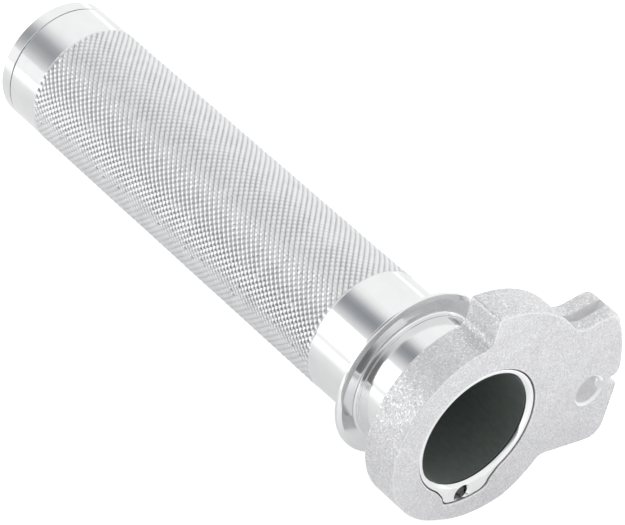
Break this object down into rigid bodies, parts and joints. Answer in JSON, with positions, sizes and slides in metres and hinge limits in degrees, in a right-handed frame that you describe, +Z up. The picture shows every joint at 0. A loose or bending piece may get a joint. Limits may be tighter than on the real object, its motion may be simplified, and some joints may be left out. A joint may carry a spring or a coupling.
{
  "type": "motorcycle throttle tube with cable cam",
  "caption": "Knurled aluminium twist throttle tube for a 22.2 mm handlebar, with a flange and a keyed cast cam that pulls and returns the throttle cables.",
  "frame": {"origin": "on the tube's axis, in the middle of the flange", "axes": "+X along the tube towards its capped outboard end, +Z up, -Y towards the rider, where the cam's cable lug points"},
  "size_m": [0.1233, 0.0506, 0.0434],
  "materials": {
    "turned_aluminium": "turned and polished, diamond-knurled on the barrel",
    "cast_aluminium": "cast and tumbled, matt with fine sparkle",
    "dark_steel": "blackened",
    "bearing_polymer": "satin",
    "seal_rubber": "matt"
  },
  "bodies": {
    "bar_side": {"bar_sleeve": "bearing_polymer"},
    "throttle": {"throttle_tube": "turned_aluminium", "cable_cam": "cast_aluminium", "cam_lock_pin": "dark_steel", "thrust_washer": "bearing_polymer", "sleeve_circlip": "dark_steel"},
    "cap": {"end_cap": "turned_aluminium", "end_cap_oring": "seal_rubber"}
  },
  "joints": [
    {"name": "throttle_twist", "type": "hinge", "parent": "bar_side", "child": "throttle", "pos_m": [0, 0, 0], "axis": [1, 0, 0], "range_deg": [0, 75]},
    {"name": "end_cap_pull", "type": "slide", "parent": "throttle", "child": "cap", "axis": [1, 0, 0], "range_m": [0, 0.012]}
  ]
}
